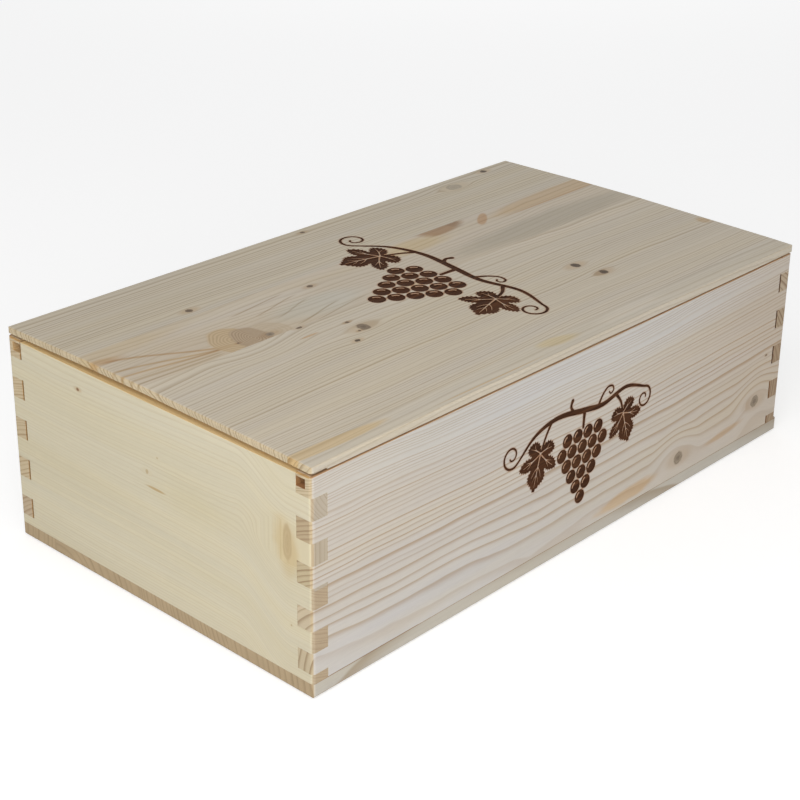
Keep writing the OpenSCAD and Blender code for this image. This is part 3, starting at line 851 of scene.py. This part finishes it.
# painted shade: the root gaps of the end's finger joints are tinted brown
END_ROOTS = [((8.52, 7, 0.12), (9.35, 101, 8.4), ROOT_GAP_SHADE), ((183.65, 7, 0.12), (184.48, 101, 8.4), ROOT_GAP_SHADE)]
board_piece("closed_end_board", "closed_end", "box", "end_wood", sanded("closed_end"), board_wood(
    "closed_end_wood", "YZX", corner, (1, 1, 1), heart=(120, 118, 34), ring=1.5, belly=0.3, sway=2.0, seed=4.0,
    contrast=0.6,
    knots=[(143.8, 90.4, 0.8, 1.1, dict(SMALL_KNOT, core=(152, 120, 88), rim=(118, 82, 54))), (99.2, 67.1, 1.1, 0.9, TAN_KNOT), (12, 30, 0.5, 1.0, TAN_KNOT),
           (92, 76, 0.5, 1.0, TAN_KNOT), (13.8, 67.2, 8.5, 0.32, TAN_KNOT)],
    stains=[(94, 60.5, 7, 0.8, 0, (226, 200, 160), 0.8, 0.5, 0.5),
            (14.5, 64.5, 7.5, 15, -12, (247, 237, 219), 0.9, 0.7, 0.5),
            (72, 62, 30, 14, 0, (255, 252, 240), 0.6, 0.5, 0.8)],
    sweeps=[(12, 44, 17)],
    # painted light: the closed end's top, in shade under the lid, is made lighter and warmer
    shade_and_tone_boxes=[((-1, 100.0, -0.1), (194, 100.2, 8.6), END_TOP_PAINTED_LIGHT), END_ROOTS[1],
              # painted shade where the groove meets the closed end
              ((8.4, 94.3, 0.1), (9.1, 99.4, 8.4), (240, 200, 156)),
              ((-1, 50, -1), (0.1, 92, 9), (257, 264, 276)), ((-1, 7, -1), (0.1, 50, 9), (254, 249, 243))],
    end_early=(184, 167, 142), end_late=(168, 149, 124), **PALE_END))
board_piece("opening_end_board", "opening_end", "box", "end_wood", sanded("opening_end"), board_wood(
    "opening_end_wood", "YZX", (-corner[0], corner[1], 0), (-1, 1, 1), heart=(90, 30, 50), ring=2.3, belly=1.0,
    sway=3.5, seed=17.0, contrast=0.8, knots=[(118, 46, 3.0, 1.2, GREY_KNOT), (42, 74, 1.1, 1.1, SMALL_KNOT)],
    # painted shade: the top under the lid, and the inner face by the front side seen through the joint's gaps
    shade_and_tone_boxes=[((-1, 94.2, -0.1), (194, 94.4, 8.6), (244, 224, 192)), *END_ROOTS,
              ((-1, 40, 8.3), (8.5, 94.5, 8.7), (112, 78, 54)), ((-1, 7, 8.3), (8.5, 40, 8.7), (170, 130, 96)),
              ((-1, 80, -1), (0.1, 92, 9), (280, 290, 300)), ((-1, 60, -1), (0.1, 72, 9), (268, 274, 278))],
    end_early=(168, 146, 120), end_late=(126, 98, 74), **PALE_END))


# ---- Bottom: four boards glued edge to edge, planed, and pinned up into the sides and ends ----
# They lie with their grain along the box, so their end grain shows below both ends. Their
# lower outer edges are rounded off.

BOTTOM_SEAMS = [-45.5 * MM, 11.5 * MM, 71.5 * MM]
BOTTOM_TONE = dict(early=(203, 195, 181), late=(180, 164, 142), end_early=(179, 158, 127), end_late=(161, 140, 110))
for k, (heart, knots) in enumerate([
        ((120, 130, -20), [(80, 25, 2.5, 1.2, GREY_KNOT), (262, 38, 1.2, 1.1, SMALL_KNOT)]),
        ((150, -10, 30), [(140, 80, 3.4, 1.2, GREY_KNOT), (300, 66, 1.6, 1.1, SMALL_KNOT)]),
        ((140, 166, -14), [(200, 140, 2.8, 1.2, GREY_KNOT), (60, 122, 1.4, 1.1, SMALL_KNOT)]),
        ((150, 240, 10), [(260, 180, 2.2, 1.2, GREY_KNOT)])]):
    name = "bottom_board_%d" % (k + 1)
    board_piece("bottom_plank_%d" % (k + 1), name, "box", "bottom_wood", sanded(name, BOTTOM_SEAMS), board_wood(
        name + "_wood", "XYZ", corner, (1, 1, 1), heart=heart, ring=(3.6, 2.4, 4.2, 3.0)[k], belly=1.0, sway=2.5, seed=40.0 + 3 * k,
        # the first board's front edge: a thin dark line at the joint under the side, part glue line, part painted shade
        # of the gap; below it a little darker and cooler
        knots=knots, shade_and_tone_boxes=[((-3, -1, 6.78), (345, 0.35, 7.1), (200, 174, 146)),
                                ((-3, -1, -1), (345, 0.1, 6.78), (243, 245, 248))] if k == 0 else (), **BOTTOM_TONE))


# ---- Lid: four boards glued edge to edge, planed as one, slotted along both long edges ----
# The tongues below the slots run in the sides' grooves. The same vine is burnt in across three
# of the boards.

LID_SEAMS = [(-96.5 + y) * MM for y in (13.0, 99.1, 142.3)]
LID_END = dict(end_early=(200, 184, 154), end_late=(160, 138, 106))
# Painted shade: the lid's faces that look down are tinted warmer and darker
LID_UNDERSIDE_SHADE = (255, 236, 205)
SWIRL_TAN = dict(core=(196, 172, 134), rim=(168, 140, 103), halo=(254, 248, 238), flow=0.3, years=1.9, lines=0.4,
                 cover=0.85, edge=0.0, pith=0.0)
SWIRL_BROWN = dict(core=(180, 158, 130), rim=(145, 121, 94), halo=(255, 255, 255), flow=0.0, years=1.5, lines=0.4,
                   cover=0.9, edge=0.1, pith=0.0)
SWIRL_PALE = dict(core=(194, 176, 149), rim=(164, 142, 112), halo=(255, 255, 255), flow=0.0, years=2.2, lines=0.2,
                  cover=0.55, edge=0.0, pith=0.0)
# Painted shade on the tongues' ends, seen in the groove's open end by the closed end
TONGUE_END_SHADE = [((8.5, 3.3, 94), (9.1, 9.2, 99.4), (150, 104, 70)), ((8.5, 184, 94), (9.1, 190, 99.4), (190, 150, 108))]


def lid_plank(k, shape, *extra, **looks):
    name = "lid_board_%d" % k
    wood = board_wood(name + "_wood", "XYZ", corner, (1, 1, 1), seed=57.0 + 3 * k, underside_shade=LID_UNDERSIDE_SHADE,
                      shade_and_tone_boxes=TONGUE_END_SHADE, **looks, **LID_END)
    return board_piece("lid_plank_%d" % k, name, "lid", "lid_wood", shape, wood, *extra)


lid_burnt = burnt_wood("lid_burnt", "XYZ", corner, (1, 1, 1), 63.0)
crossed = {}
for k in (2, 3, 4):
    crossed[k] = sanded("lid_board_%d" % k, LID_SEAMS)
    burn_mark(crossed[k], (0, 0, 1), (0, -1, 0), (1, 0, 0), (-0.5, -4.25), 1.12)
lid_plank(1, sanded("lid_board_1", LID_SEAMS), heart=(150, -44, 72), ring=2.0, belly=0.6, sway=3.0, contrast=0.8,
          early=(202, 192, 174), late=(176, 162, 139),
          stains=[(18, 9.5, 36, 3.6, -2, (257, 240, 208), 0.95, 0.4, 0.25),
                  (160, 9, 14, 4, -8, (258, 246, 210), 0.7, 0.9, 0.5),
                  (110, 3, 40, 0.5, 0, (246, 222, 188), 0.8, 0.5, 0.5),
                  (212, 8, 28, 4, 0, (264, 264, 266), 0.8, 0.5, 0.5)])
lid_plank(2, crossed[2], lid_burnt, heart=(205, 122, 62), ring=1.6, belly=-0.7, sway=3.4, contrast=1.35,
          early=(203, 192, 173), late=(177, 161, 137), scorch=(205, 150, 104),
          knots=[(109.3, 79.4, 3.0, 1.0, dict(GREY_KNOT, core=(140, 122, 100), rim=(80, 62, 44))), (107.5, 87.8, 0.9, 1.2, SMALL_KNOT), (105, 77.5, 0.7, 1.0, SMALL_KNOT),
                 (96.8, 70.6, 1.2, 1.2, DARK_KNOT), (237, 59.5, 2.4, 1.0, DARK_KNOT), (240.5, 44.7, 2.3, 1.0, DARK_KNOT),
                 (87.9, 98.6, 1.2, 1.3, SMALL_KNOT)],
          humps=[(62, 99, 34, 26, -7)],
          stains=[(85, 88.8, 6, 0.9, 0, (236, 206, 174), 0.8, 0.5, 0.5),
                  (337, 52.5, 4, 5, 0, (238, 216, 186), 0.7, 0.6, 0.5),
                  (165, 96.5, 12, 2, 0, (250, 232, 206), 0.8, 0.6, 0.5),
                  (280, 93, 90, 5, -2, (262, 260, 260), 0.6, 0.4, 0.8)])
lid_plank(3, crossed[3], lid_burnt, heart=(150, 156, 66), ring=2.0, belly=1.2, sway=5.0, contrast=0.85,
          early=(200, 187, 167), late=(174, 157, 131), scorch=(205, 150, 104),
          knots=[(125.8, 130.7, 1.4, 1.2, SMALL_KNOT),
                 (58.6, 107.5, 15.4, 0.8, SWIRL_TAN), (76.6, 103.5, 11, 0.9, SWIRL_PALE), (66.2, 104.6, 12.6, 0.7, SWIRL_BROWN),
                 (74, 102.2, 1.9, 1.1, GREY_KNOT), (57.6, 104.8, 0.6, 1.0, SMALL_KNOT)],
          lines=[(0, 60, 129.6, 104.5, 1.9, (224, 197, 162), 0.85), (-4, 57, 118.8, 104.5, 1.6, (229, 207, 174), 0.85),
                 (-8, 53, 112.8, 104.8, 1.5, (228, 204, 170), 0.85), (-8, 50, 106.6, 103, 1.4, (224, 212, 194), 0.8),
                 (-8, 50, 102.2, 101, 1.1, (216, 206, 190), 0.8), (72, 112, 129, 133, 0.8, (214, 200, 182), 0.9),
                 (80, 116, 121.5, 128, 0.8, (216, 204, 188), 0.9), (86, 118, 113, 121, 0.9, (220, 210, 196), 0.8),
                 (88, 126, 101.5, 109, 0.9, (216, 206, 190), 0.9), (88, 140, 98, 104.5, 0.8, (216, 206, 190), 0.8)],
          stains=[(14, 137, 40, 7, 0, (255, 250, 238), 0.9, 0.6, 0.5), (82, 130, 46, 13, 0, (260, 263, 269), 0.9, 0.4, 0.5),
                  (112, 112, 32, 12, 0, (252, 260, 267), 0.9, 0.4, 0.5),
                  (2, 131, 14, 3.5, -6, (240, 216, 184), 0.8, 0.6, 0.6),
                  (228, 142.5, 18, 9.5, 0, (211, 182, 151), 0.95, 0.9, 0.35),
                  (238, 141, 5, 7, 0, (232, 230, 228), 0.8, 0.4, 0.5),
                  (254.5, 135, 10, 2.9, 38, (236, 208, 180), 0.95, 0.25, 0.3),
                  (322, 136, 68, 7.5, 2, (249, 233, 208), 0.9, 0.35, 0.35),
                  (310, 129.6, 56, 0.9, 1, (230, 208, 184), 0.8, 0.5, 0.6),
                  (200, 133, 26, 9, 0, (255, 246, 222), 0.9, 0.6, 0.5),
                  (278, 109, 88, 12, 0, (229, 231, 231), 0.95, 0.5, 0.5)])
lid_plank(4, crossed[4], lid_burnt, heart=(150, 248, 65), ring=2.1, belly=0.5, sway=2.0, contrast=1.4, scorch=(205, 150, 104),
          early=(200, 189, 169), late=(168, 151, 125),
          knots=[(66.9, 148.3, 1.8, 1.1, SMALL_KNOT), (175.6, 187.7, 1.2, 1.1, SMALL_KNOT),
                 (316.3, 188.0, 1.8, 1.1, DARK_KNOT), (284, 181.0, 3.6, 1.3, FAINT_KNOT)])


# ---- Pins: bare steel wire with small round heads, punched up through the bottom boards ----
# Five hold each long side and four hold each end. Their heads sit a little below the wood.

def driven_pins():
    """A point becomes a pin: a stack of rings, from the head's face to the tip."""
    tree = bpy.data.node_groups.new("driven_pins", "GeometryNodeTree")
    for title, kind, value in (("Places", "Geometry", None), ("Length", "Float", 20 * MM),
                               ("Shank Radius", "Float", 0.6 * MM), ("Head Radius", "Float", 1.2 * MM),
                               ("Head Depth", "Float", 0.8 * MM), ("Finish", "Material", None)):
        socket = tree.interface.new_socket(title, in_out="INPUT", socket_type="NodeSocket" + kind)
        if value:
            socket.default_value = value
    tree.interface.new_socket("Pins", in_out="OUTPUT", socket_type="NodeSocketGeometry")
    given = tree.nodes.new("NodeGroupInput").outputs
    rings = [("Head Radius", 0.86, "Head Depth", 0.0), ("Head Radius", 1.0, "Head Depth", 0.14),
             ("Head Radius", 1.0, "Head Depth", 0.8), ("Head Radius", 0.82, "Head Depth", 1.0),
             ("Shank Radius", 1.0, "Head Depth", 1.02), ("Shank Radius", 1.0, "Length", 0.92),
             ("Shank Radius", 0.12, "Length", 1.0)]
    stack = tree.nodes.new("GeometryNodeMeshCylinder")
    stack.inputs["Vertices"].default_value = 16
    stack.inputs["Side Segments"].default_value = len(rings) - 1
    stack.inputs["Radius"].default_value = 1.0
    stack.inputs["Depth"].default_value = 1.0
    where = tree.nodes.new("GeometryNodeInputPosition")
    x, y, z = split(tree, where.outputs[0])
    level = calc(tree, "ROUND", calc(tree, "MULTIPLY", calc(tree, "ADD", z, 0.5), float(len(rings) - 1)))
    switches = []
    for wide in (True, False):
        switch = tree.nodes.new("GeometryNodeIndexSwitch")
        switch.data_type = "FLOAT"
        while len(switch.index_switch_items) < len(rings):
            switch.index_switch_items.new()
        feed(tree, switch.inputs["Index"], level)
        for k, (radius, share, height, rise) in enumerate(rings):
            value = calc(tree, "MULTIPLY", given[radius], share) if wide else calc(tree, "MULTIPLY", given[height], rise)
            feed(tree, switch.inputs[str(k)], value)
        switches.append(switch.outputs[0])
    shaped = tree.nodes.new("GeometryNodeSetPosition")
    tree.links.new(stack.outputs["Mesh"], shaped.inputs["Geometry"])
    feed(tree, shaped.inputs["Position"], join(tree, calc(tree, "MULTIPLY", x, switches[0]),
                                               calc(tree, "MULTIPLY", y, switches[0]), switches[1]))
    spread = tree.nodes.new("GeometryNodeInstanceOnPoints")
    tree.links.new(given["Places"], spread.inputs["Points"])
    tree.links.new(shaped.outputs[0], spread.inputs["Instance"])
    real = tree.nodes.new("GeometryNodeRealizeInstances")
    tree.links.new(spread.outputs[0], real.inputs[0])
    finish = tree.nodes.new("GeometryNodeSetMaterial")
    tree.links.new(real.outputs[0], finish.inputs["Geometry"])
    tree.links.new(given["Finish"], finish.inputs["Material"])
    tree.links.new(finish.outputs[0], tree.nodes.new("NodeGroupOutput").inputs[0])
    return tree


def wire_steel():
    steel = bpy.data.materials.new("wire_steel")
    steel.use_nodes = True
    tree = steel.node_tree
    shader = tree.nodes["Principled BSDF"]
    where = tree.nodes.new("ShaderNodeTexCoord")
    place = vectors(tree, "MULTIPLY", where.outputs["Object"], (1000, 1000, 1000))
    worn = noise(tree, place, (0.5, 0.5, 0.5), 3.0, 0.6, "Fac", 1.0)
    dull = noise(tree, place, (3, 3, 3), 2.0, 0.5, "Fac", 4.0)
    tone = blended(tree, ease(tree, worn, 0.3, 0.7), colour(150, 150, 152), colour(186, 186, 188))
    tone = blended(tree, ease(tree, dull, 0.5, 0.75, 0.0, 0.6), tone, colour(128, 118, 108))
    tree.links.new(tone, shader.inputs["Base Color"])
    tree.links.new(ease(tree, worn, 0.3, 0.7, 0.3, 0.5), shader.inputs["Roughness"])
    shader.inputs["Metallic"].default_value = 1.0
    bump = tree.nodes.new("ShaderNodeBump")
    bump.inputs["Distance"].default_value = 0.05 * MM
    tree.links.new(worn, bump.inputs["Height"])
    tree.links.new(bump.outputs[0], shader.inputs["Normal"])
    return steel


PIN_INSET, PIN_SUNK, MID_WALL = 30.0, 0.3, 4.25
pin_step = (LENGTH - 2 * PIN_INSET) / 4
pin_places = [(-LENGTH / 2 + PIN_INSET + k * pin_step, side * (WIDTH / 2 - MID_WALL), PIN_SUNK)
              for side in (-1, 1) for k in range(5)]
pin_places += [(side * (LENGTH / 2 - MID_WALL), y, PIN_SUNK) for side in (-1, 1) for y in (-66.75, -17.0, 41.5, 79.75)]
spots_mesh = bpy.data.meshes.new("pin_places")
spots_mesh.from_pydata([[c * MM for c in place] for place in pin_places], [], [])
maker = bpy.data.objects.new("pin_maker", spots_mesh)
bpy.context.scene.collection.objects.link(maker)
growth = maker.modifiers.new("pins", "NODES")
growth.node_group = driven_pins()
sockets = {item.name: item.identifier for item in growth.node_group.interface.items_tree if item.in_out == "INPUT"}
growth[sockets["Finish"]] = wire_steel()
bpy.context.view_layer.update()
drawn = maker.evaluated_get(bpy.context.evaluated_depsgraph_get())
pins = bpy.data.objects.new("wire_pins", bpy.data.meshes.new_from_object(drawn))
bpy.data.objects.remove(maker)
bpy.context.scene.collection.objects.link(pins)
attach(pins, "box")
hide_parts("bottom_pins")
